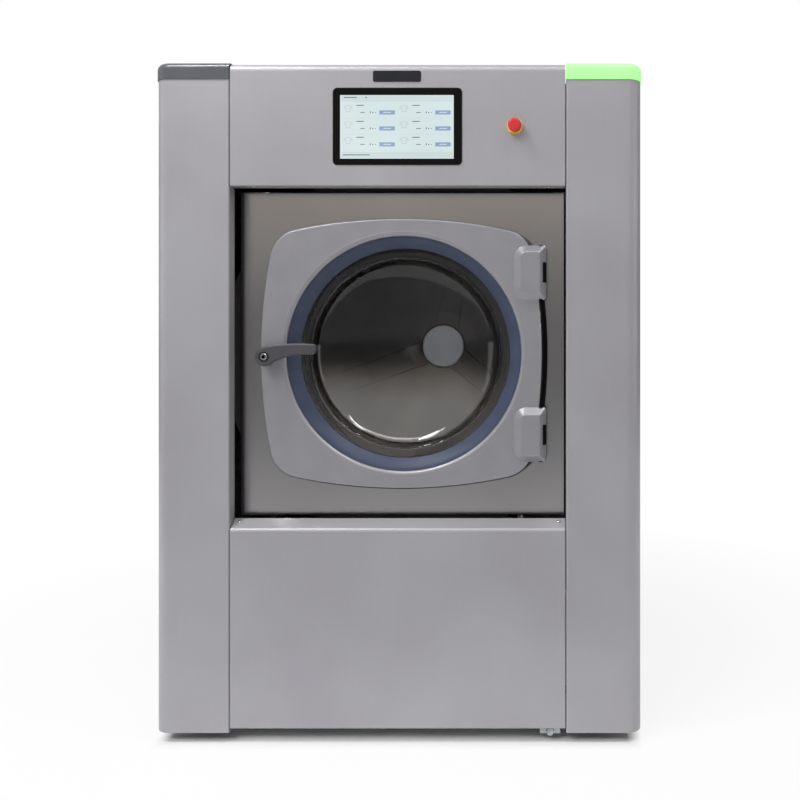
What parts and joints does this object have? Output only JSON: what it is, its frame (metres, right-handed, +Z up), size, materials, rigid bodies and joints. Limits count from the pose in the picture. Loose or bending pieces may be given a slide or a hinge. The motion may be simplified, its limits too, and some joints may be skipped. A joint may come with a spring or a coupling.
{
  "type": "commercial washing machine",
  "caption": "Free-standing soft-mount washer-extractor: corner columns, touch-screen header, recessed suspended tub front, and a cast door with a glass bowl and a lever.",
  "frame": {"origin": "on the floor, under the middle of the machine's bounding box", "axes": "+Z up, the front faces -Y, +X to the right as seen from the front"},
  "size_m": [0.98, 1.109, 1.362],
  "materials": {
    "cabinet_paint": "satin",
    "galvanised_steel": "satin",
    "stainless_steel": "brushed",
    "machined_steel": "machined",
    "spring_steel": "satin",
    "cast_metal": "cast",
    "motor_paint": "satin",
    "door_paint": "satin",
    "door_rubber": "matte",
    "black_rubber": "matte",
    "bowl_glass": "polished",
    "screen_glass": "polished",
    "lever_plastic": "satin",
    "cap_plastic": "satin",
    "light_plastic": "translucent",
    "black_plastic": "matte",
    "red_plastic": "gloss",
    "yellow_plastic": "gloss"
  },
  "bodies": {
    "cabinet": {"base_rails": "galvanised_steel", "base_crossbars": "galvanised_steel", "levelling_feet": "stainless_steel", "upper_frame": "galvanised_steel", "left_column": "cabinet_paint", "right_column": "cabinet_paint", "left_cap": "cap_plastic", "status_light": "light_plastic", "header_panel": "cabinet_paint", "display_glass": "screen_glass", "display_module": "black_plastic", "estop_collar": "yellow_plastic", "estop_contact_block": "black_plastic", "lower_panel": "cabinet_paint", "panel_bracket": "galvanised_steel", "left_side_panel": "cabinet_paint", "right_side_panel": "cabinet_paint", "top_panel": "cabinet_paint", "rear_panel": "cabinet_paint", "belt_cover": "cabinet_paint", "inlet_valves": "black_plastic", "fill_hoses": "black_rubber", "drain_outlet": "black_plastic", "drain_hose": "black_rubber", "cable_gland": "black_plastic", "control_box": "galvanised_steel", "damper_tubes": "galvanised_steel", "suspension_springs": "spring_steel"},
    "tub": {"outer_tub": "stainless_steel", "tub_front_ring": "stainless_steel", "tub_front_panel": "stainless_steel", "tub_cradles": "galvanised_steel", "damper_rods": "machined_steel", "bearing_housing": "cast_metal", "shaft_bearings": "machined_steel", "shaft_seal": "black_rubber", "motor": "motor_paint", "motor_bracket": "galvanised_steel", "drive_belt": "black_rubber", "heaters": "stainless_steel", "drain_valve": "black_plastic", "hinge_brackets": "door_paint", "hinge_pins": "machined_steel", "lock_housing": "black_plastic"},
    "drum": {"drum_shell": "stainless_steel", "drum_back": "stainless_steel", "drum_lifters": "stainless_steel", "hub_cover": "stainless_steel", "spider_shaft": "cast_metal", "drum_pulley": "cast_metal"},
    "rotor": {"motor_pulley": "machined_steel"},
    "door": {"door_frame": "door_paint", "door_glass": "bowl_glass", "door_gasket": "door_rubber", "glass_clamp_ring": "stainless_steel"},
    "lever": {"door_lever": "lever_plastic"},
    "lock_bolt": {"lock_bolt": "machined_steel"},
    "estop_stem": {"estop_stem": "black_plastic"},
    "estop_head": {"estop_head": "red_plastic"}
  },
  "joints": [
    {"name": "tub_bounce", "type": "slide", "parent": "cabinet", "child": "tub", "axis": [0, 0, 1], "range_m": [-0.01, 0.01], "stiffness_N_per_m": 240000, "springref_m": 0.0113, "deforming": ["suspension_springs", "fill_hoses", "drain_hose"]},
    {"name": "drum_spin", "type": "hinge", "parent": "tub", "child": "drum", "pos_m": [0.008, 0, 0.778], "axis": [0, 1, 0], "continuous": true},
    {"name": "motor_spin", "type": "hinge", "parent": "tub", "child": "rotor", "pos_m": [0.13, 0, 0.235], "axis": [0, 1, 0], "continuous": true},
    {"name": "door_swing", "type": "hinge", "parent": "tub", "child": "door", "pos_m": [0.286, -0.5045, 0.778], "axis": [0, 0, 1], "range_deg": [0, 110]},
    {"name": "lever_turn", "type": "hinge", "parent": "door", "child": "lever", "pos_m": [-0.264, -0.5305, 0.773], "axis": [0, -1, 0], "range_deg": [0, 60]},
    {"name": "lock_slide", "type": "slide", "parent": "tub", "child": "lock_bolt", "axis": [0, 0, -1], "range_m": [0, 0.02], "stiffness_N_per_m": 150, "springref_m": -0.02},
    {"name": "estop_press", "type": "slide", "parent": "cabinet", "child": "estop_stem", "axis": [0, 1, 0], "range_m": [0, 0.004]},
    {"name": "estop_twist", "type": "hinge", "parent": "estop_stem", "child": "estop_head", "pos_m": [0.235, -0.5485, 1.233], "axis": [0, -1, 0], "range_deg": [0, 45], "stiffness_Nm_per_rad": 0.02}
  ],
  "couplings": [
    {"joint": "motor_spin", "follows": "drum_spin", "ratio": 4.75}
  ]
}
